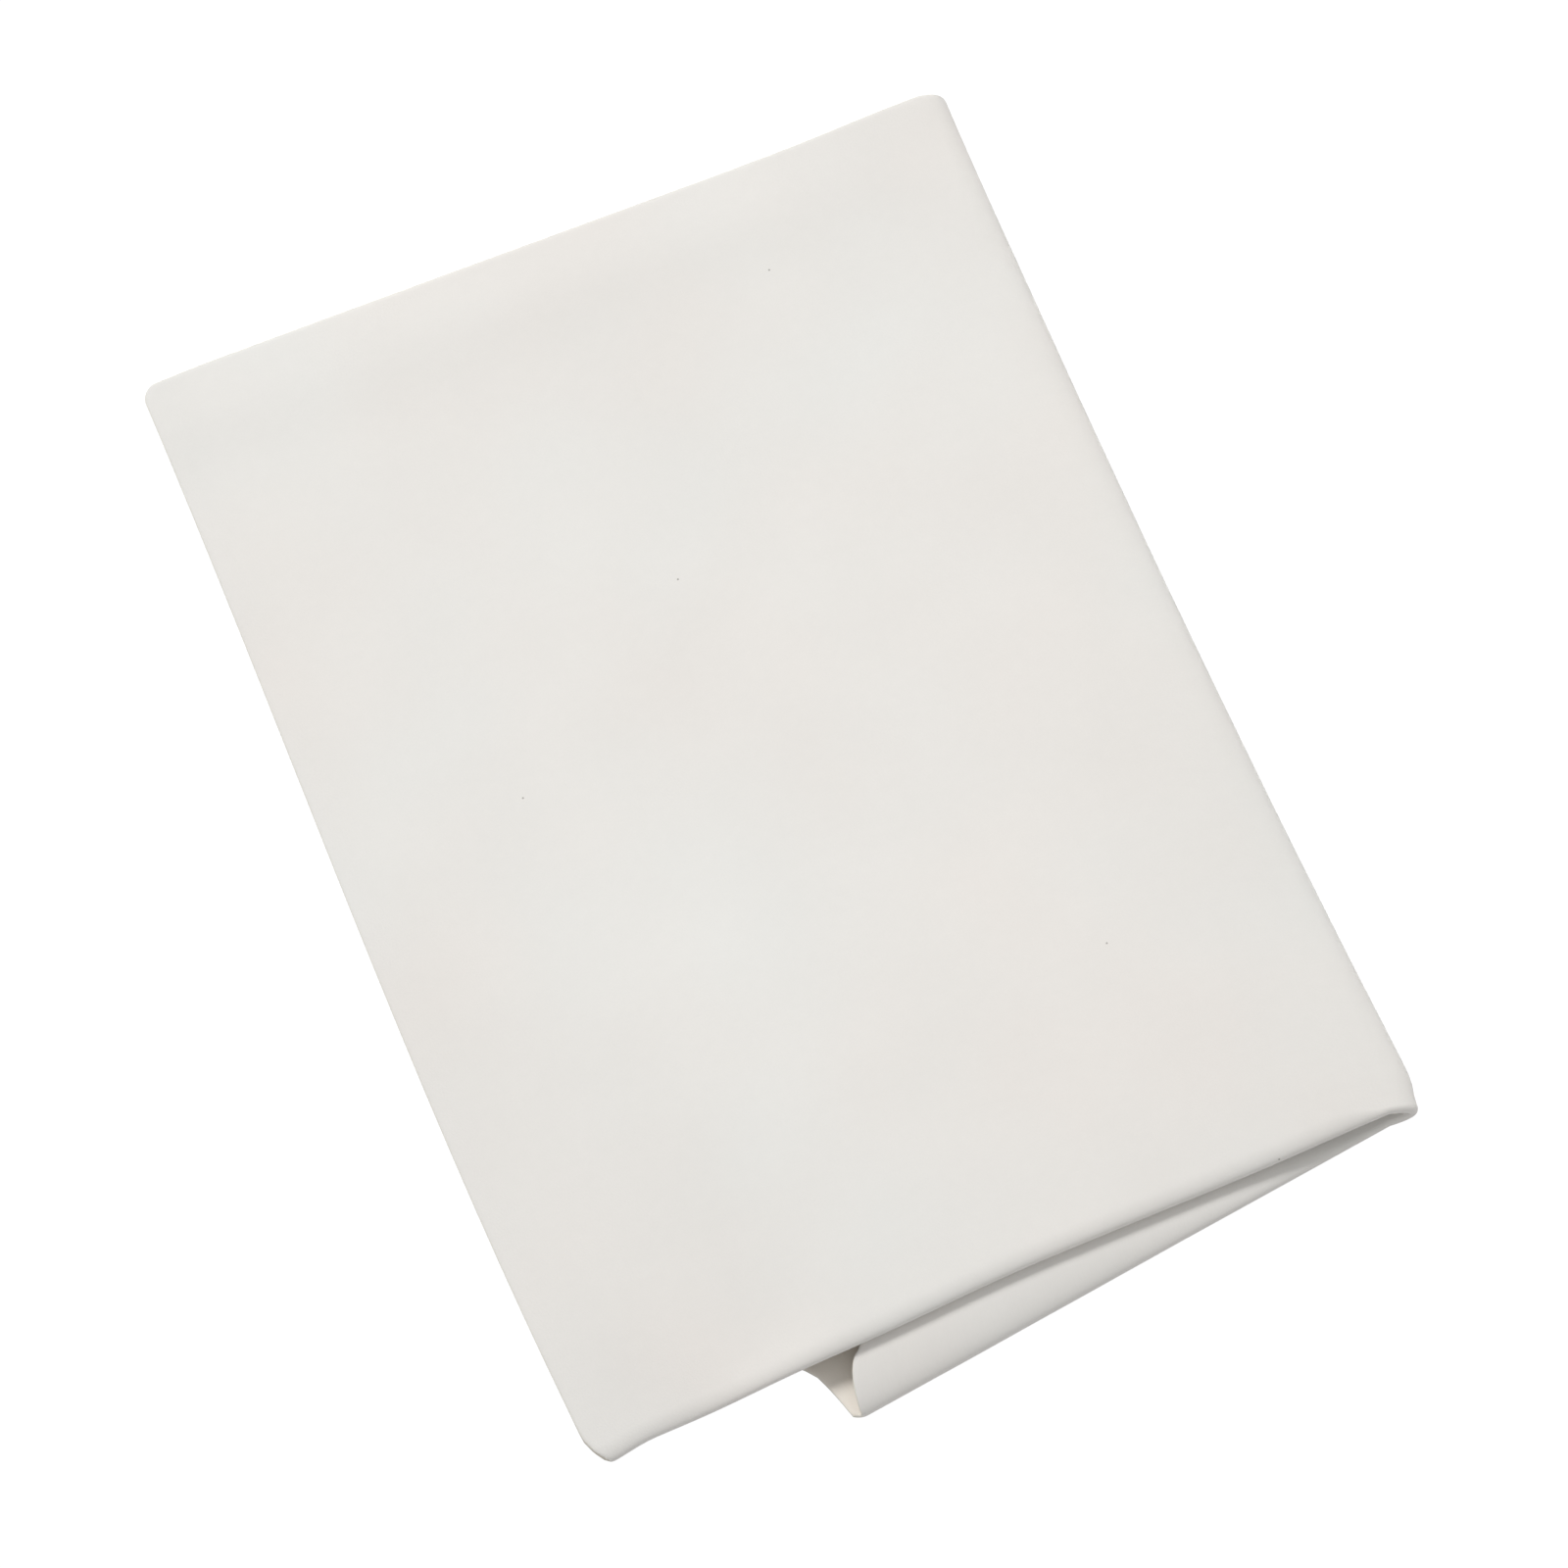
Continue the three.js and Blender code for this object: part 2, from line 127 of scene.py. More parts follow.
# Front rolls: the upper one is tight, the lower one full
UPPER_BORE = 1.6
LOWER_BORE = 5.6
FRONT_REACH = 110
UPPER_OPENING = 8
LOWER_OPENING = 80
UPPER_ROLL_REACH = 4.5
LOWER_ROLL_REACH = 15
LOWER_ROLL_FALL = 0.5
FRONT_SHIFT = 1.6
FRONT_ADVANCE = 2.2
FRONT_ADVANCE_START = 90
FRONT_ADVANCE_REACH = 85
END_DROOP = 1.8
END_DROOP_REACH = 20

# Side creases and the corner where the folds cross
SIDE_BORE = 4.6
SIDE_BULGE = 4.6
SIDE_PINCH = 1.9
SIDE_PINCH_REACH = 5
SIDE_REACH = 30
BACK_PINCH = 2.2
BACK_SHIFT = 1.5
BACK_REACH = 60
CORNER_BULGE = 0.35
CORNER_AHEAD = 0.9
LOWER_SKEW = math.radians(6.1)

# Open end of the flap, tips of the cut edges and the soft ridge beside them
THIRD_SLANT = 17.5
THIRD_SLANT_REACH = 23.5
BOTTOM_SLANT = 22
BOTTOM_SLANT_REACH = 34
SLANT_POWER = 2.6
TIP_ROUND = 1.7
TIP_ROUND_REACH = 6
DRAPE_REACH = 55
FRONT_TIP_INSET = 4.5
FRONT_TIP_REACH = 4.5
SIDE_TIP_REACH = 1.2
CORNER_RADIUS = 5
RIM_RIDGE = 1
RIM_INSET = 15
RIM_WIDTH = 13
RIM_FADE = 2 * RIM_WIDTH

# Distances between the middles of the layers
LAYER_STEP = THICKNESS + LAYER_GAP
UPPER_STEP = THICKNESS + UPPER_BORE
LOWER_STEP = THICKNESS + LOWER_BORE
SIDE_STEP = THICKNESS + SIDE_BORE
STACK_STEP = 2 * LAYER_STEP + SIDE_STEP
STACK_MIDDLE = (THICKNESS + STACK_STEP) / 2
TIP_RADIUS = LAYER_STEP / 2

along_x, along_y = -math.cos(LOWER_SKEW), -math.sin(LOWER_SKEW)
back_x, back_y = -math.sin(LOWER_SKEW), math.cos(LOWER_SKEW)


def quarter_arc(reach, height):
    return math.pi / 2 * math.sqrt((reach**2 + height**2) / 2)


def roll_arc(reach, step):
    flat = reach - TIP_RADIUS
    return quarter_arc(reach, step - TIP_RADIUS) + flat + quarter_arc(TIP_RADIUS, TIP_RADIUS)


upper_arc = roll_arc(UPPER_ROLL_REACH, UPPER_STEP)
lower_arc = roll_arc(LOWER_ROLL_REACH, LOWER_STEP)
side_arc = 2 * quarter_arc(STACK_STEP / 2 + SIDE_BULGE, STACK_STEP / 2)
leaf_depth = (DEPTH_RIGHT + DEPTH_LEFT) / 2 - (UPPER_ROLL_REACH - TIP_RADIUS)

flat_width = UPPER_WIDTH + side_arc + LOWER_WIDTH
flat_length = 2 * leaf_depth + upper_arc
print("Flat sheet, mm:", round(flat_width), "by", round(flat_length))

# %% [markdown]
# Soft leather has no sharp corners, so every transition is a smooth curve of the distance from a fold or an
# edge. These small helpers give those curves on whole arrays of points at once.

# %% Curves that the folds are made of
# These bring the highest point of share * (1 - share) and of share * (1 - share)**2 to 1
EVEN_BOW = 4
FRONT_BOW = 27 / 4


def fade(distance, reach):
    """1 at a fold, falling to 0 over about twice the reach."""
    return np.exp(-((np.maximum(distance, 0) / reach) ** 2))


def smoother(distance, reach):
    """0 up to the start, 1 past the reach, with no kink at either end."""
    share = np.clip(distance / reach, 0, 1)
    return share**3 * (share * (6 * share - 15) + 10)


def bow(y):
    share = np.clip(y / DEPTH_RIGHT, 0, 1)
    return EVEN_BOW * SIDE_BOW * share * (1 - share)


def crease_shift(y):
    return BACK_SHIFT * fade(DEPTH_RIGHT - y, BACK_REACH) - bow(y)


def left_bow(y):
    share = np.clip(y / DEPTH_LEFT, 0, 1)
    return FRONT_BOW * LEFT_BOW * share * (1 - share) ** 2 + LEFT_LEAN * share**3


def side_bulge(y):
    pinch = SIDE_PINCH * fade(y, SIDE_PINCH_REACH)
    return SIDE_BULGE - pinch - BACK_PINCH * fade(DEPTH_RIGHT - y, BACK_REACH)


def lower_length(across):
    on_third = (np.maximum(across, 0) / THIRD_SLANT_REACH) ** SLANT_POWER
    on_bottom = (np.maximum(-across, 0) / BOTTOM_SLANT_REACH) ** SLANT_POWER
    rounded = TIP_ROUND * (1 - fade(-across, TIP_ROUND_REACH))
    return LOWER_WIDTH - THIRD_SLANT * np.tanh(on_third) + BOTTOM_SLANT * np.tanh(on_bottom) + rounded


def upper_length(across):
    return UPPER_WIDTH - FRONT_TIP_INSET * np.exp(-((across / FRONT_TIP_REACH) ** 2))


def corner_inset(from_back):
    share = np.clip(1 - from_back / CORNER_RADIUS, 0, 1)
    return CORNER_RADIUS * (1 - np.sqrt(1 - share**2))


def ridge(from_edge):
    return RIM_RIDGE * np.exp(-(((from_edge - RIM_INSET) / RIM_WIDTH) ** 2))


print("Left edge stands out at the middle by, mm:", round(float(left_bow(DEPTH_LEFT / 2)), 2))

# %% [markdown]
# A front roll is flat on one side, turns tightly at its tip and curves back slowly on the other, as leather
# does that is folded once and then left alone. It is pressed flat at the corner and opens away from it. The
# section below gives the way out and the way up for every share of the turn, from -1 on the flat side to 1.

# %% Section of a front roll
LEAST_SHARE = 1e-9


def upper_opening(from_corner):
    return 1 - fade(from_corner, UPPER_OPENING)


def lower_opening(from_corner):
    return 1 - fade(from_corner, LOWER_OPENING)


def roll_step(opened, full_step):
    return LAYER_STEP + (full_step - LAYER_STEP) * opened


def front_shift(from_corner):
    ahead = smoother(from_corner - FRONT_ADVANCE_START, FRONT_ADVANCE_REACH)
    droop = smoother(from_corner - UPPER_WIDTH + END_DROOP_REACH, END_DROOP_REACH)
    return FRONT_SHIFT - FRONT_ADVANCE * ahead - END_DROOP * droop


def upper_front(from_corner):
    return (UPPER_ROLL_REACH - TIP_RADIUS) * upper_opening(from_corner) + front_shift(from_corner)


def lower_front(from_corner):
    return (LOWER_ROLL_REACH - TIP_RADIUS) * lower_opening(from_corner)


def roll_section(turn, opened, full_reach, full_step, fall=0):
    reach = TIP_RADIUS + (full_reach - TIP_RADIUS) * opened
    height = roll_step(opened, full_step)
    tip_share = 1 - opened / 2
    falling = np.clip(turn, 0, 1) * math.pi / 2
    fall_out = reach * np.maximum(np.cos(falling), 0) ** (1 + fall * opened)
    fall_up = TIP_RADIUS + (height - TIP_RADIUS) * np.sin(falling)
    tip = np.clip(-turn / tip_share, 0, 1) * math.pi / 2
    flat_share = np.clip((-turn - tip_share) / np.maximum(1 - tip_share, LEAST_SHARE), 0, 1)
    tip_out = (reach - TIP_RADIUS) * (1 - flat_share) + TIP_RADIUS * np.cos(tip)
    out = np.where(turn >= 0, fall_out, tip_out)
    up = np.where(turn >= 0, fall_up, TIP_RADIUS * (1 - np.sin(tip)))
    return out, up


print("Roll heights at the corner and far from it, mm:", LAYER_STEP, UPPER_STEP, LOWER_STEP)

# %% [markdown]
# The four leaves are height fields over the table. The bottom leaf is flat. Each leaf above it rests on the
# one below, rises where a fold holds the layers apart, and comes down to the table where it hangs over.

# %% Heights and outlines of the leaves


def leaf_heights(x, y):
    along = x * along_x + y * along_y
    back = x * back_x + y * back_y
    from_crease = crease_shift(y) - x
    behind_upper = y - upper_front(from_crease)
    behind_lower = back - lower_front(along)
    upper_step = roll_step(upper_opening(from_crease) * fade(behind_upper, FRONT_REACH), UPPER_STEP)
    lower_step = roll_step(lower_opening(along) * fade(behind_lower, FRONT_REACH), LOWER_STEP)
    middle_step = LAYER_STEP + (SIDE_STEP - LAYER_STEP) * fade(from_crease, SIDE_REACH)
    past_third = smoother(along - lower_length(back), DRAPE_REACH)
    past_bottom = smoother(along - lower_length(-back), DRAPE_REACH)
    bottom = np.full_like(x, THICKNESS / 2)
    third = bottom + lower_step
    over_bottom = (LAYER_STEP - TABLE_GAP) * (1 - past_bottom)
    over_third = (lower_step + middle_step - LAYER_STEP) * (1 - past_third)
    second = bottom + TABLE_GAP + over_bottom + over_third
    back_edge = DEPTH_RIGHT - (DEPTH_LEFT - DEPTH_RIGHT) * x / UPPER_WIDTH
    back_rim = ridge(back_edge - y) * (1 - fade(from_crease, RIM_FADE))
    rims = back_rim + ridge(UPPER_WIDTH - from_crease)
    top = second + upper_step + rims * (1 - fade(behind_upper, RIM_FADE))
    return {"bottom": bottom, "third": third, "second": second, "top": top}


def lower_point(along, back):
    return along_x * along + back_x * back, along_y * along + back_y * back


def leaf_outline(name, back):
    """Where a line across a leaf meets the side fold and the cut edge, as two (x, y) points."""
    if name == "top":
        depth, crease = back * DEPTH_LEFT, back * DEPTH_RIGHT
        width = upper_length(upper_arc / 2 + depth) - corner_inset(DEPTH_LEFT - depth)
        return (crease_shift(crease), crease), (-width - left_bow(depth), depth)
    if name == "second":
        depth, crease = back * (DEPTH_LEFT - SECOND_SETBACK), back * (DEPTH_RIGHT - SECOND_SETBACK)
        width = upper_length(upper_arc / 2 + depth) - SECOND_SETBACK * back
        return (back_x * crease, back_y * crease), (-width - left_bow(depth), depth)
    if name == "third":
        depth = back * (DEPTH_RIGHT - THIRD_SETBACK)
        edge = lower_point(lower_length(lower_arc / 2 + depth), depth)
        return (back_x * depth, back_y * depth), edge
    depth = back * (DEPTH_RIGHT - BOTTOM_SETBACK)
    return (crease_shift(depth), depth), lower_point(lower_length(-lower_arc / 2 - depth), depth)


def leaf_point(name, side, back):
    crease, edge = leaf_outline(name, back)
    x = crease[0] + (edge[0] - crease[0]) * side
    y = crease[1] + (edge[1] - crease[1]) * side
    if name in ("top", "second"):
        y = y + (1 - back) * upper_front(crease[0] - x)
    else:
        drawn = (1 - back) * lower_front(x * along_x + y * along_y)
        x, y = x + back_x * drawn, y + back_y * drawn
    return x, y, leaf_heights(x, y)[name]


print("Stack height at the side fold, mm:", STACK_STEP + THICKNESS)

# %% [markdown]
# The side creases are half ellipses round the stack. The inner one slants with the lower pair, as a sheet
# with four folds in one point must. The corner is the flattened front roll carried round the side crease.

# %% Places of the rolls and creases


def upper_roll_point(side, turn):
    x = -side * upper_length(turn * upper_arc / 2)
    out, up = roll_section(turn, upper_opening(-x), UPPER_ROLL_REACH, UPPER_STEP)
    y = upper_front(-x) - out
    return x, y, leaf_heights(x, y)["second"] + up


def lower_roll_point(side, turn):
    along = side * lower_length(-turn * lower_arc / 2)
    out, up = roll_section(-turn, lower_opening(along), LOWER_ROLL_REACH, LOWER_STEP, LOWER_ROLL_FALL)
    x, y = lower_point(along, lower_front(along) - out)
    return x, y, THICKNESS / 2 + up


def crease_angle(down):
    return (0.5 - down) * math.pi


def corner_shift(down):
    return (1 - down) * FRONT_SHIFT - CORNER_AHEAD * np.cos(crease_angle(down))


def outer_crease_point(down, back):
    angle = crease_angle(down)
    radius = STACK_STEP / 2
    y = back * (DEPTH_RIGHT - BOTTOM_SETBACK * down + SIDE_TIP_REACH * np.cos(angle))
    x = (radius + side_bulge(y)) * np.cos(angle) + crease_shift(y)
    return x, y + (1 - back) * corner_shift(down), STACK_MIDDLE + radius * np.sin(angle)


def inner_crease_point(down, back):
    angle = crease_angle(down)
    setback = SECOND_SETBACK + (THIRD_SETBACK - SECOND_SETBACK) * down
    x, behind = lower_point(np.zeros_like(back), back * (DEPTH_RIGHT - setback))
    y = behind + (1 - back) * corner_shift(down)
    heights = leaf_heights(x, y)
    radius = (heights["second"] - heights["third"]) / 2
    opened = (2 * radius - THICKNESS) / SIDE_BORE
    x = x + (radius + side_bulge(behind) * opened**2) * np.cos(angle)
    return x, y, heights["third"] + radius * (1 + np.sin(angle))


def corner_point(down, turn):
    angle = crease_angle(down)
    out, up = roll_section(turn, np.zeros_like(turn), TIP_RADIUS, LAYER_STEP)
    radius = SIDE_STEP / 2 + up
    x = (radius + side_bulge(0)) * np.cos(angle) - back_x * down * out
    tip = (1 + CORNER_BULGE * np.cos(angle)) * out
    y = corner_shift(down) - (1 - down + back_y * down) * tip
    return x, y, STACK_MIDDLE + radius * np.sin(angle)


def sheet_point(across, along):
    """Place of a point of the flat sheet. across: 0 to 1 upper pair, 1 to 2 side creases, 2 to 3 lower
    pair. along: 0 to 1 inner layer from the back, 1 to 2 front roll, 2 to 3 outer layer to the back."""
    upper, down, lower = (np.clip(across - start, 0, 1) for start in (0, 1, 2))
    inner, outer = 1 - np.clip(along, 0, 1), np.clip(along - 2, 0, 1)
    turn = np.clip(2 * along - 3, -1, 1)
    places = [
        leaf_point("second", 1 - upper, inner),
        upper_roll_point(1 - upper, turn),
        leaf_point("top", 1 - upper, outer),
        inner_crease_point(down, inner),
        corner_point(down, turn),
        outer_crease_point(down, outer),
        leaf_point("third", lower, inner),
        lower_roll_point(lower, turn),
        leaf_point("bottom", lower, outer),
    ]
    column = (across > 1).astype(int) + (across >= 2)
    row = (along > 1).astype(int) + (along >= 2)
    here = 3 * column + row
    return np.stack([np.choose(here, [place[axis] for place in places]) for axis in range(3)], axis=-1)


SLOPE_STEP = 1e-3
SHEET_END = 3
SHEET_MIDDLE = np.array([1.5])


def sheet_normal(across, along):
    sideways = sheet_point(np.minimum(across + SLOPE_STEP, SHEET_END), along)
    sideways -= sheet_point(np.maximum(across - SLOPE_STEP, 0), along)
    onward = sheet_point(across, np.minimum(along + SLOPE_STEP, SHEET_END))
    onward -= sheet_point(across, np.maximum(along - SLOPE_STEP, 0))
    normal = np.cross(sideways, onward)
    return normal / np.linalg.norm(normal, axis=-1, keepdims=True)


corner_tip = sheet_point(SHEET_MIDDLE, SHEET_MIDDLE)[0]
print("Tip of the folded corner, mm:", np.round(corner_tip, 1))

# %% [markdown]
# The sheet is meshed as one grid, parted into three pieces beside the side fold. It is fine round the folds
# and beside the cut edges, and coarse on the leaves. It carries what later steps need at each point: the
# direction through the leather, the place on the flat sheet, and the distance from the cut edge.

# %% Grid over the flat sheet
RIM_STEPS = np.array([0, 0.06, 0.2, 0.42, 0.72, 1.1, 1.6, 2.3, 3.2, 4.4, 6])
LEAF_CELL = 3
ROLL_ROWS = 40
CREASE_COLUMNS = 40
FOLD_MARGIN = 8


def stretch_steps(length, cell):
    """Even steps over 0 to 1, the cells no longer than asked."""
    return np.linspace(0, 1, math.ceil(length / cell) + 1)


def edge_steps(length, cell):
    """Steps over 0 to 1 that are fine beside a cut edge at 0."""
    first = RIM_STEPS[-1] / length
    return np.concatenate([RIM_STEPS[:-1] / length, first + (1 - first) * stretch_steps(length, cell)])


upper_split = 1 - FOLD_MARGIN / UPPER_WIDTH
lower_split = FOLD_MARGIN / LOWER_WIDTH
columns = {
    "upper_leaves": edge_steps(UPPER_WIDTH, LEAF_CELL) * upper_split,
    "side_fold": np.concatenate([
        upper_split + (1 - upper_split) * stretch_steps(FOLD_MARGIN, LEAF_CELL)[:-1],
        np.linspace(1, 2, CREASE_COLUMNS + 1),
        2 + lower_split * stretch_steps(FOLD_MARGIN, LEAF_CELL)[1:],
    ]),
    "lower_leaves": SHEET_END - (1 - lower_split) * edge_steps(LOWER_WIDTH, LEAF_CELL)[::-1],
}
rows = np.concatenate([
    edge_steps(leaf_depth, LEAF_CELL)[:-1],
    np.linspace(1, 2, ROLL_ROWS + 1),
    SHEET_END - edge_steps(leaf_depth, LEAF_CELL)[::-1][1:],
])
print("Columns:", {name: len(steps) for name, steps in columns.items()}, "rows:", len(rows))

# %% [markdown]
# The frame says where the stack lies. The leather's own box, both skins of it, is laid with its middle on
# the middle of the CAD box and its underside on the CAD's. Millimetres become metres here.

# %% Grid meshes in the frame
BOX_STEPS = 301
STRETCH_ENDS = [0, 1, 2, 3]
box_steps = np.linspace(0, SHEET_END, BOX_STEPS)
across, along = np.meshgrid(box_steps, box_steps, indexing="ij")
middle_skin = sheet_point(across, along)
half_through = sheet_normal(across, along) * THICKNESS / 2
skins = np.concatenate([middle_skin - half_through, middle_skin + half_through]).reshape(-1, 3)
skin_middle = (skins.min(axis=0) + skins.max(axis=0)) / 2
cad_middle = (cad_low + cad_high) / 2
corner_place = np.array([
    cad_middle.x - skin_middle[0] * MM,
    cad_middle.y - skin_middle[1] * MM,
    cad_low.z,
])
print("Fold crossing in the frame, mm:", np.round(corner_place / MM, 2))


def flat_place(across, along):
    width = np.interp(across, STRETCH_ENDS, np.cumsum([0, UPPER_WIDTH, side_arc, LOWER_WIDTH]))
    length = np.interp(along, STRETCH_ENDS, np.cumsum([0, leaf_depth, upper_arc, leaf_depth]))
    return width, length


def grid_piece(name):
    across, along = np.meshgrid(columns[name], rows, indexing="ij")
    places = sheet_point(across, along) * MM + corner_place
    width, length = flat_place(across, along)
    rim = np.minimum.reduce([width, flat_width - width, length, flat_length - length])
    index = np.arange(across.size).reshape(across.shape)
    quads = np.stack([index[:-1, :-1], index[1:, :-1], index[1:, 1:], index[:-1, 1:]], axis=-1)
    mesh = bpy.data.meshes.new(name)
    mesh.from_pydata(places.reshape(-1, 3).tolist(), [], quads.reshape(-1, 4).tolist())
    flat = np.stack([width, length, np.zeros_like(width)], axis=-1) * MM
    for label, values in (("through", sheet_normal(across, along)), ("flat_place", flat)):
        mesh.attributes.new(label, "FLOAT_VECTOR", "POINT").data.foreach_set("vector", values.ravel())
    mesh.attributes.new("from_rim", "FLOAT", "POINT").data.foreach_set("value", rim.ravel() * MM)
    piece = bpy.data.objects.new(name, mesh)
    bpy.context.scene.collection.objects.link(piece)
    return piece


pieces = {name: grid_piece(name) for name in columns}
for name, piece in pieces.items():
    print(name, "grid faces:", len(piece.data.polygons))

# %% [markdown]
# Node trees are easier to read as sums than as boxes. This class wraps a socket, so that an expression on
# it adds the Math nodes, and its node method adds any other node from its type, settings and inputs.

# %% Sockets that can be calculated with


class Socket:
    def __init__(self, tree, output=None):
        self.tree = tree
        self.output = output

    def node(self, kind, settings, values, output=0):
        made = self.tree.nodes.new(kind)
        for name, value in settings.items():
            setattr(made, name, value)
        for name, value in values.items():
            for source in value if isinstance(value, list) else [value]:
                if isinstance(source, Socket):
                    self.tree.links.new(source.output, made.inputs[name])
                else:
                    made.inputs[name].default_value = source
        return Socket(self.tree, made.outputs[output] if made.outputs else None)

    def maths(self, operation, first, *others, clamp=False):
        settings = {"operation": operation, "use_clamp": clamp}
        return self.node("ShaderNodeMath", settings, dict(enumerate((first, *others))))

    def scaled(self, factor):
        return self.node("ShaderNodeVectorMath", {"operation": "SCALE"}, {"Vector": self, "Scale": factor})

    def __add__(self, other):
        return self.maths("ADD", self, other)

    def __sub__(self, other):
        return self.maths("SUBTRACT", self, other)

    def __rsub__(self, other):
        return self.maths("SUBTRACT", other, self)

    def __mul__(self, other):
        return self.maths("MULTIPLY", self, other)

    def __truediv__(self, other):
        return self.maths("DIVIDE", self, other)

    def __rtruediv__(self, other):
        return self.maths("DIVIDE", other, self)

    __radd__ = __add__
    __rmul__ = __mul__


# %% [markdown]
# Chamois is matt and napped: no gloss, a soft pale rim of fibres, and a colour that wanders a little between
# cream and grey. The flesh side is painted lighter and warmer than the face: partly its own tone, and partly
# painted fill light that brightens the shaded inside of the folds. A cut edge shows the yellower core, and a
# few dark fibres are caught in the nap. The patterns lie on the flat sheet, so they follow the leather round
# a fold.

# %% Chamois material
COOL_FACE = (0.796, 0.786, 0.755, 1)
WARM_FACE = (0.806, 0.775, 0.738, 1)
# Flesh side: its own warmer tone, plus painted fill light that lifts the shaded inside of the folds
FLESH_AND_PAINTED_FILL_COLOUR = (0.870, 0.815, 0.735, 1)
CORE_COLOUR = (0.780, 0.750, 0.680, 1)
SPECK_COLOUR = (0.25, 0.23, 0.20, 1)

# Size and detail of each noise, in metres of the flat sheet
DRIFT = {"size": 0.12, "detail": 2}
CLOUD = {"size": 0.08, "detail": 3}
GRAIN = {"size": 0.0035, "detail": 4}
NAP = {"size": 0.0006, "detail": 3}
NOISE_ROUGHNESS = 0.6
NOISE_MIDDLE = 0.5

# How far each pattern goes
DRIFT_START = 0.35
DRIFT_CONTRAST = 3.3
CLOUD_SHADE = 0.09
GRAIN_SHADE = 0.03
NAP_SHADE = 0.04
CORE_DEPTH = 0.0004
CORE_SOFTNESS = 0.1
SPECK_SPACING = 0.13
SPECK_SIZE = 0.00028
SPECK_STRENGTH = 0.7
NAP_DEPTH = 0.00006
NAP_RELIEF = 0.7
GRAIN_RELIEF = 0.3
LEAST_ROUGHNESS = 0.86
NAP_ROUGHNESS = 0.1
SPECULAR_LEVEL = 0.25
SHEEN_WEIGHT = 0.12
SHEEN_ROUGHNESS = 0.5


def chamois_material():
    material = bpy.data.materials.new("chamois")
    material.use_nodes = True
    tree = material.node_tree
    tree.nodes.clear()
    start = Socket(tree)
    flat = start.node("ShaderNodeAttribute", {"attribute_name": "flat_place"}, {}, "Vector")
    rim = start.node("ShaderNodeAttribute", {"attribute_name": "from_rim"}, {}, "Fac")
    face = start.node("ShaderNodeAttribute", {"attribute_name": "face_side"}, {}, "Fac")

    def noise(size, detail):
        values = {"Vector": flat, "Scale": 1 / size, "Detail": detail, "Roughness": NOISE_ROUGHNESS}
        return start.node("ShaderNodeTexNoise", {}, values, "Fac")

    def mixed(factor, first, second):
        return start.node("ShaderNodeMix", {"data_type": "RGBA"}, {0: factor, 6: first, 7: second}, 2)

    drift = start.maths("MULTIPLY", noise(**DRIFT) - DRIFT_START, DRIFT_CONTRAST, clamp=True)
    cloud = noise(**CLOUD)
    grain = noise(**GRAIN)
    nap = noise(**NAP)
    spot = {"Vector": flat, "Scale": 1 / SPECK_SPACING}
    spread = start.node("ShaderNodeTexVoronoi", {"voronoi_dimensions": "2D"}, spot, "Distance")
    speck = start.maths("LESS_THAN", spread, SPECK_SIZE / SPECK_SPACING)

    # The flesh side's colour is partly painted light, lighter than its own tone to brighten the shaded folds
    side_colour = mixed(face, FLESH_AND_PAINTED_FILL_COLOUR, mixed(drift, COOL_FACE, WARM_FACE))
    core = start.maths("SMOOTH_MIN", 1.0, 1 - rim / CORE_DEPTH, CORE_SOFTNESS)
    cored = mixed(start.maths("MAXIMUM", core, 0.0), side_colour, CORE_COLOUR)
    shade = 1 + CLOUD_SHADE * (cloud - NOISE_MIDDLE)
    shade = shade + GRAIN_SHADE * (grain - NOISE_MIDDLE) + NAP_SHADE * (nap - NOISE_MIDDLE)
    tone = start.node("ShaderNodeCombineColor", {}, {"Red": shade, "Green": shade, "Blue": shade})
    settings = {"data_type": "RGBA", "blend_type": "MULTIPLY"}
    mottled = start.node("ShaderNodeMix", settings, {0: 1.0, 6: cored, 7: tone}, 2)
    colour = mixed(speck * SPECK_STRENGTH, mottled, SPECK_COLOUR)

    relief = NAP_RELIEF * nap + GRAIN_RELIEF * grain
    bump = start.node("ShaderNodeBump", {}, {"Height": relief, "Distance": NAP_DEPTH, "Strength": 1.0})
    surface = {
        "Base Color": colour,
        "Roughness": LEAST_ROUGHNESS + NAP_ROUGHNESS * nap,
        "Normal": bump,
        "Specular IOR Level": SPECULAR_LEVEL,
        "Sheen Weight": SHEEN_WEIGHT,
        "Sheen Roughness": SHEEN_ROUGHNESS,
    }
    shader = start.node("ShaderNodeBsdfPrincipled", {}, surface)
    start.node("ShaderNodeOutputMaterial", {}, {"Surface": shader})
    return material


chamois = chamois_material()
print("Chamois nodes:", len(chamois.node_tree.nodes))

# %% [markdown]
# A grid has no thickness yet. A Geometry Nodes tree gives the sheet its body, along the leather's own
# direction at each point: it sinks the grid to the flesh side, draws the face side out of it, and rounds the
# leather off at the cut edge. The same tree lifts the sheet in slow waves, as a skin never lies quite flat.

# %% Geometry nodes for the leather's body
EDGE_RADIUS = 0.0016
EDGE_LEAST = 0.3
WAVE_HEIGHT = 0.00035
WAVE_SIZE = 0.045
WAVE_DETAIL = 1.0
SEED = 7
MERGE_DISTANCE = 1e-6
SHARP_ANGLE = math.radians(50)


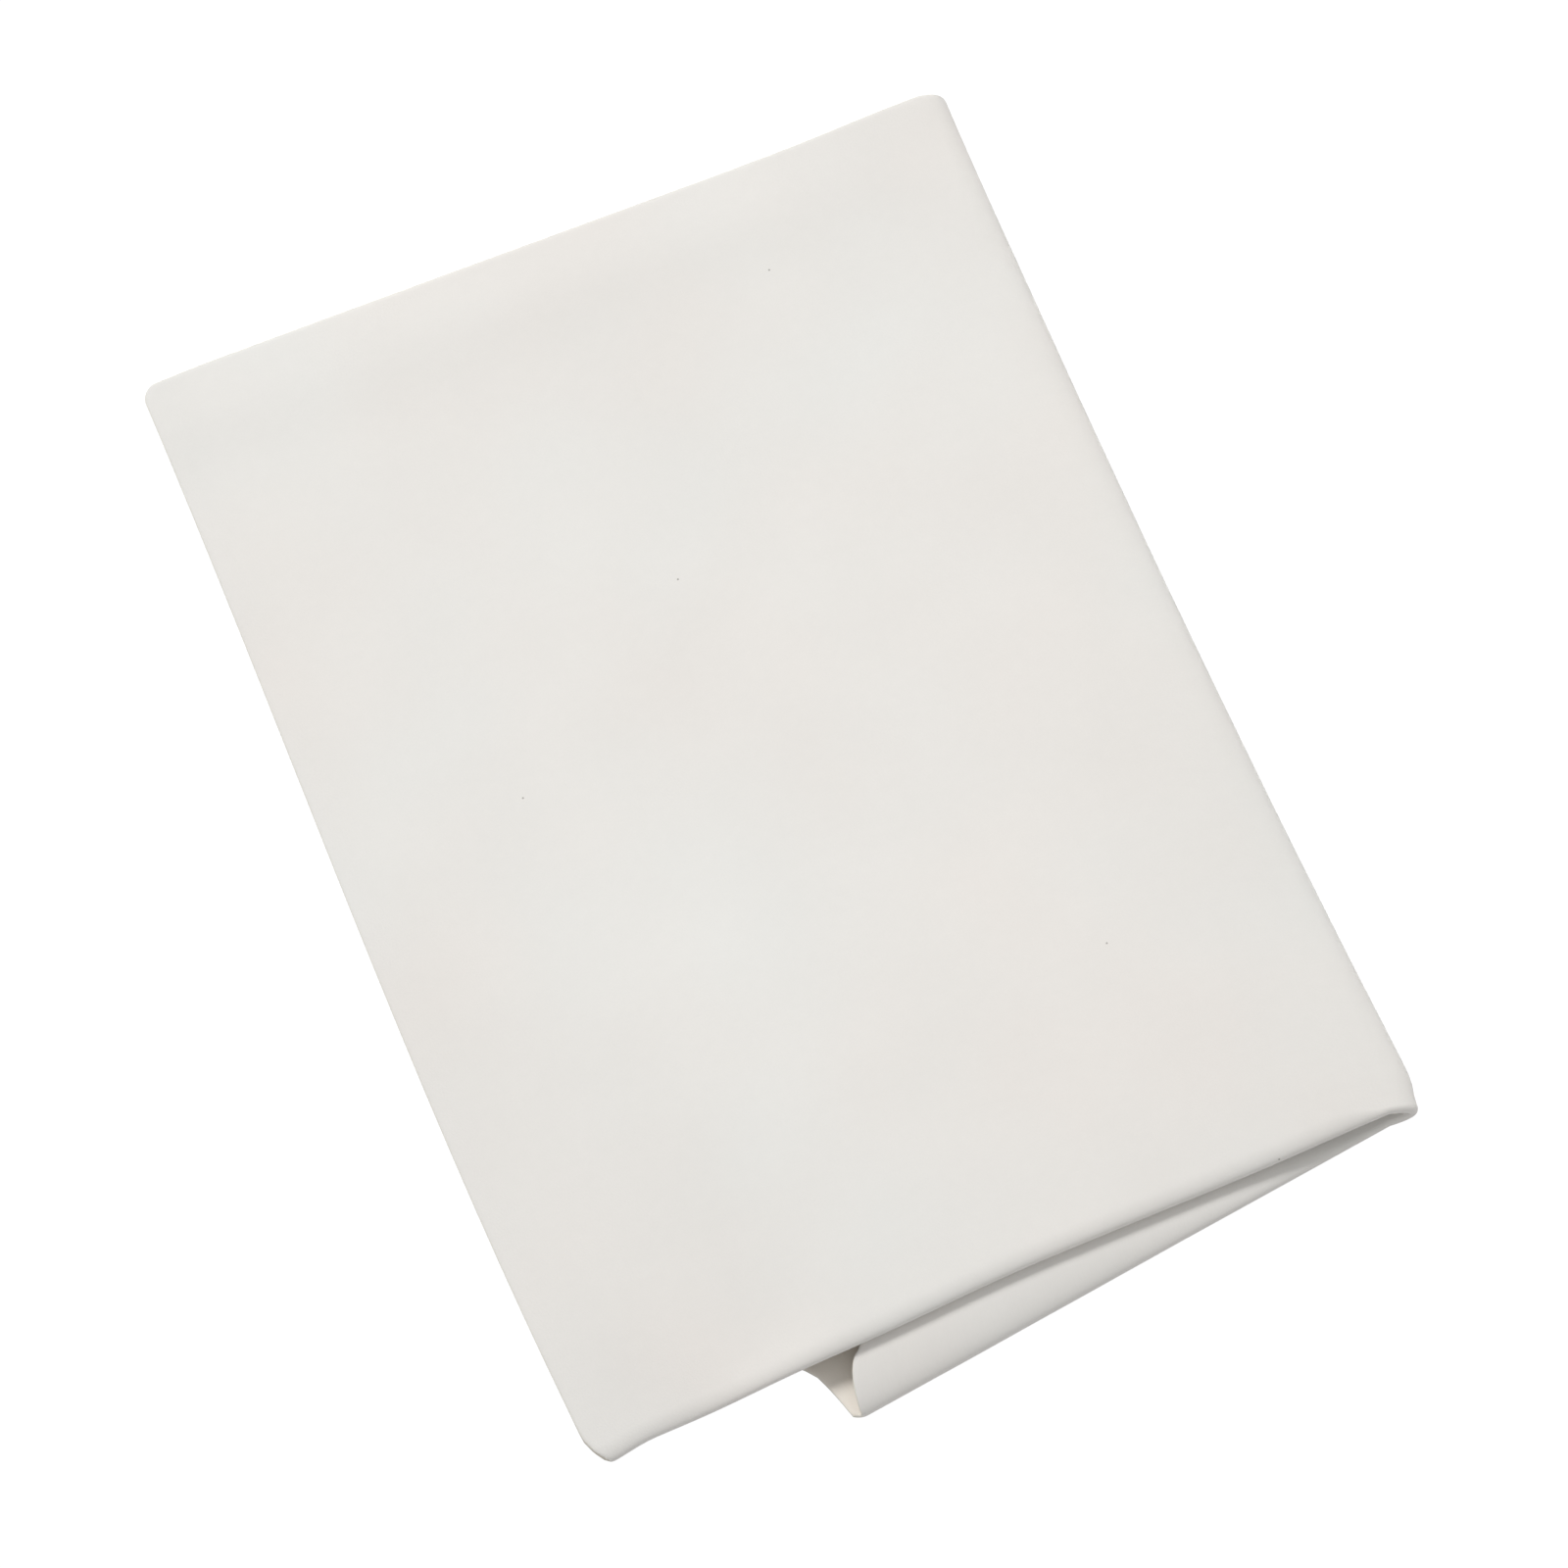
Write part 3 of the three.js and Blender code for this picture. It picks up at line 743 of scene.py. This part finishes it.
def leather_body_tree():
    tree = bpy.data.node_groups.new("leather_body", "GeometryNodeTree")
    tree.interface.new_socket("Geometry", in_out="OUTPUT", socket_type="NodeSocketGeometry")
    tree.interface.new_socket("Geometry", in_out="INPUT", socket_type="NodeSocketGeometry")
    for label in ("Thickness", "Edge Radius", "Edge Least", "Wave Height", "Wave Size", "Seed"):
        tree.interface.new_socket(label, in_out="INPUT", socket_type="NodeSocketFloat")
    tree.interface.new_socket("Material", in_out="INPUT", socket_type="NodeSocketMaterial")
    start = Socket(tree)
    inputs = tree.nodes.new("NodeGroupInput")
    given = {socket.name: Socket(tree, socket) for socket in inputs.outputs if socket.name}

    def stored(label, kind):
        return start.node("GeometryNodeInputNamedAttribute", {"data_type": kind}, {"Name": label})

    through = stored("through", "FLOAT_VECTOR")
    inward = start.maths("MINIMUM", stored("from_rim", "FLOAT") / given["Edge Radius"], 1.0)
    left = 1 - inward
    rounded = start.maths("SQRT", 1 - left * left)
    half = given["Thickness"] * 0.5 * (given["Edge Least"] + (1 - given["Edge Least"]) * rounded)
    place = {
        "Vector": stored("flat_place", "FLOAT_VECTOR"), "W": given["Seed"],
        "Scale": 1 / given["Wave Size"], "Detail": WAVE_DETAIL,
    }
    noise = start.node("ShaderNodeTexNoise", {"noise_dimensions": "4D"}, place, 0)
    wave = (noise - NOISE_MIDDLE) * given["Wave Height"]

    sunk = {"Geometry": given["Geometry"], "Offset": through.scaled(wave - half)}
    flesh = start.node("GeometryNodeSetPosition", {}, sunk)
    drawn = start.node("GeometryNodeExtrudeMesh", {"mode": "FACES"}, {
        "Mesh": flesh, "Offset Scale": 0.0, "Individual": False,
    })
    top = Socket(tree, drawn.output.node.outputs["Top"])
    lifted = {"Geometry": drawn, "Selection": top, "Offset": through.scaled(2 * half)}
    face = start.node("GeometryNodeSetPosition", {}, lifted)
    marks = {"data_type": "FLOAT", "domain": "FACE"}
    marked = start.node("GeometryNodeStoreNamedAttribute", marks, {
        "Geometry": face, "Name": "face_side", "Value": top,
    })
    under = start.node("GeometryNodeFlipFaces", {}, {"Mesh": flesh})
    joined = start.node("GeometryNodeJoinGeometry", {}, {"Geometry": [marked, under]})
    closed = start.node("GeometryNodeMergeByDistance", {}, {
        "Geometry": joined, "Distance": MERGE_DISTANCE,
    })
    smooth = start.node("GeometryNodeSetShadeSmooth", {"domain": "FACE"}, {"Geometry": closed})
    angle = start.node("GeometryNodeInputMeshEdgeAngle", {}, {})
    sharp = start.maths("GREATER_THAN", angle, SHARP_ANGLE)
    creased = start.node("GeometryNodeSetShadeSmooth", {"domain": "EDGE"}, {
        "Geometry": smooth, "Selection": sharp, "Shade Smooth": False,
    })
    real = start.node("GeometryNodeRealizeInstances", {}, {"Geometry": creased})
    coloured = start.node("GeometryNodeSetMaterial", {}, {"Geometry": real, "Material": given["Material"]})
    start.node("NodeGroupOutput", {}, {"Geometry": coloured})
    return tree


leather_body = leather_body_tree()


def give_body(piece):
    modifier = piece.modifiers.new("leather_body", "NODES")
    modifier.node_group = leather_body
    wanted = {
        "Thickness": THICKNESS * MM, "Edge Radius": EDGE_RADIUS, "Edge Least": EDGE_LEAST,
        "Wave Height": WAVE_HEIGHT, "Wave Size": WAVE_SIZE, "Seed": float(SEED), "Material": chamois,
    }
    for item in leather_body.interface.items_tree:
        if item.item_type == "SOCKET" and item.in_out == "INPUT" and item.name in wanted:
            modifier[item.identifier] = wanted[item.name]
    evaluated = piece.evaluated_get(bpy.context.evaluated_depsgraph_get())
    body = bpy.data.meshes.new_from_object(evaluated)
    body.name = piece.name
    piece.modifiers.remove(modifier)
    piece.data = body
    return piece


for name, piece in pieces.items():
    give_body(piece)
    print(name, "triangles:", sum(len(face.vertices) - 2 for face in piece.data.polygons))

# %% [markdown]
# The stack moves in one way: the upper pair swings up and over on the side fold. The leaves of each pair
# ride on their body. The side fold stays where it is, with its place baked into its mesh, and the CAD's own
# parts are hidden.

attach(pieces["upper_leaves"], "upper_pair")
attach(pieces["lower_leaves"], "lower_pair")
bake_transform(pieces["side_fold"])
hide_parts("top_leaf", "second_leaf", "upper_front_roll")
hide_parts("bottom_leaf", "third_leaf", "lower_front_roll")
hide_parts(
    "outer_crease_upper", "outer_crease_lower", "inner_crease_upper",
    "inner_crease_lower", "corner_crease_upper", "corner_crease_lower",
)

# %% [markdown]
# The leather lies on a white floor under an even white sky, with one softbox above and behind it. A grid on
# the softbox narrows its beam, so its light falls off gently towards the edges of the leather, as in a small
# studio. A weak fill light, low on the right, softens the shade along the side fold. The floor keeps the
# shadow, and what the camera sees of it is lifted most of the way to pure white.

# %% Floor, light and world
WHITE = (1, 1, 1, 1)
FLOOR_DROP = 0.0004
FLOOR_SIZE = 14
FLOOR_GREY = 0.8
FLOOR_LIFT = 0.9
FLOOR_GLOW = 1.1
WORLD_LEVEL = 0.488
BACKDROP_LEVEL = 1.0
SOFTBOX_PLACE = Vector((-0.2, 1.65, 2.4))
SOFTBOX_WIDTH = 0.9
SOFTBOX_HEIGHT = 0.8
SOFTBOX_BEAM = math.radians(30)
SOFTBOX_POWER = 2.1
FILL_PLACE = Vector((1.6, 0.1, 0.43))
FILL_SIZE = 0.6
FILL_BEAM = math.radians(180)
FILL_POWER = 1.5

scene = bpy.context.scene
scene.view_settings.view_transform = "Standard"

half_floor = FLOOR_SIZE / 2
floor_z = cad_low.z - FLOOR_DROP
floor_corners = [
    (-half_floor, -half_floor, floor_z),
    (half_floor, -half_floor, floor_z),
    (half_floor, half_floor, floor_z),
    (-half_floor, half_floor, floor_z),
]
floor_mesh = bpy.data.meshes.new("floor")
floor_mesh.from_pydata(floor_corners, [], [(0, 1, 2, 3)])
floor = bpy.data.objects.new("floor", floor_mesh)
scene.collection.objects.link(floor)


def seen_directly(start):
    path = start.node("ShaderNodeLightPath", {}, {}, "Is Camera Ray")
    rays = path.output.node.outputs
    glossy = Socket(start.tree, rays["Is Glossy Ray"])
    through = Socket(start.tree, rays["Is Transmission Ray"])
    return start.maths("ADD", path + glossy, through, clamp=True)


floor_material = bpy.data.materials.new("white_floor")
floor_material.use_nodes = True
floor_material.node_tree.nodes.clear()
start = Socket(floor_material.node_tree)
matt = start.node("ShaderNodeBsdfDiffuse", {}, {"Color": (FLOOR_GREY, FLOOR_GREY, FLOOR_GREY, 1)})
white = start.node("ShaderNodeEmission", {}, {"Color": WHITE, "Strength": FLOOR_GLOW})
lifted = start.node("ShaderNodeMixShader", {}, {0: seen_directly(start) * FLOOR_LIFT, 1: matt, 2: white})
start.node("ShaderNodeOutputMaterial", {}, {"Surface": lifted})
floor_mesh.materials.append(floor_material)

world = bpy.data.worlds.new("sky")
scene.world = world
world.use_nodes = True
world.node_tree.nodes.clear()
start = Socket(world.node_tree)
sky = start.node("ShaderNodeBackground", {}, {"Color": WHITE, "Strength": WORLD_LEVEL})
backdrop = start.node("ShaderNodeBackground", {}, {"Color": WHITE, "Strength": BACKDROP_LEVEL})
seen = start.node("ShaderNodeMixShader", {}, {0: seen_directly(start), 1: sky, 2: backdrop})
start.node("ShaderNodeOutputWorld", {}, {"Surface": seen})


def area_light(name, place, width, height, beam, power):
    data = bpy.data.lights.new(name, "AREA")
    data.shape = "RECTANGLE"
    data.size = width
    data.size_y = height
    data.spread = beam
    data.energy = power
    light = bpy.data.objects.new(name, data)
    light.matrix_world = Matrix.LocRotScale(place, place.to_track_quat("Z", "Y"), None)
    scene.collection.objects.link(light)
    print(name, "is, in m from the leather:", round(place.length, 2))


area_light("softbox", SOFTBOX_PLACE, SOFTBOX_WIDTH, SOFTBOX_HEIGHT, SOFTBOX_BEAM, SOFTBOX_POWER)
area_light("fill", FILL_PLACE, FILL_SIZE, FILL_SIZE, FILL_BEAM, FILL_POWER)
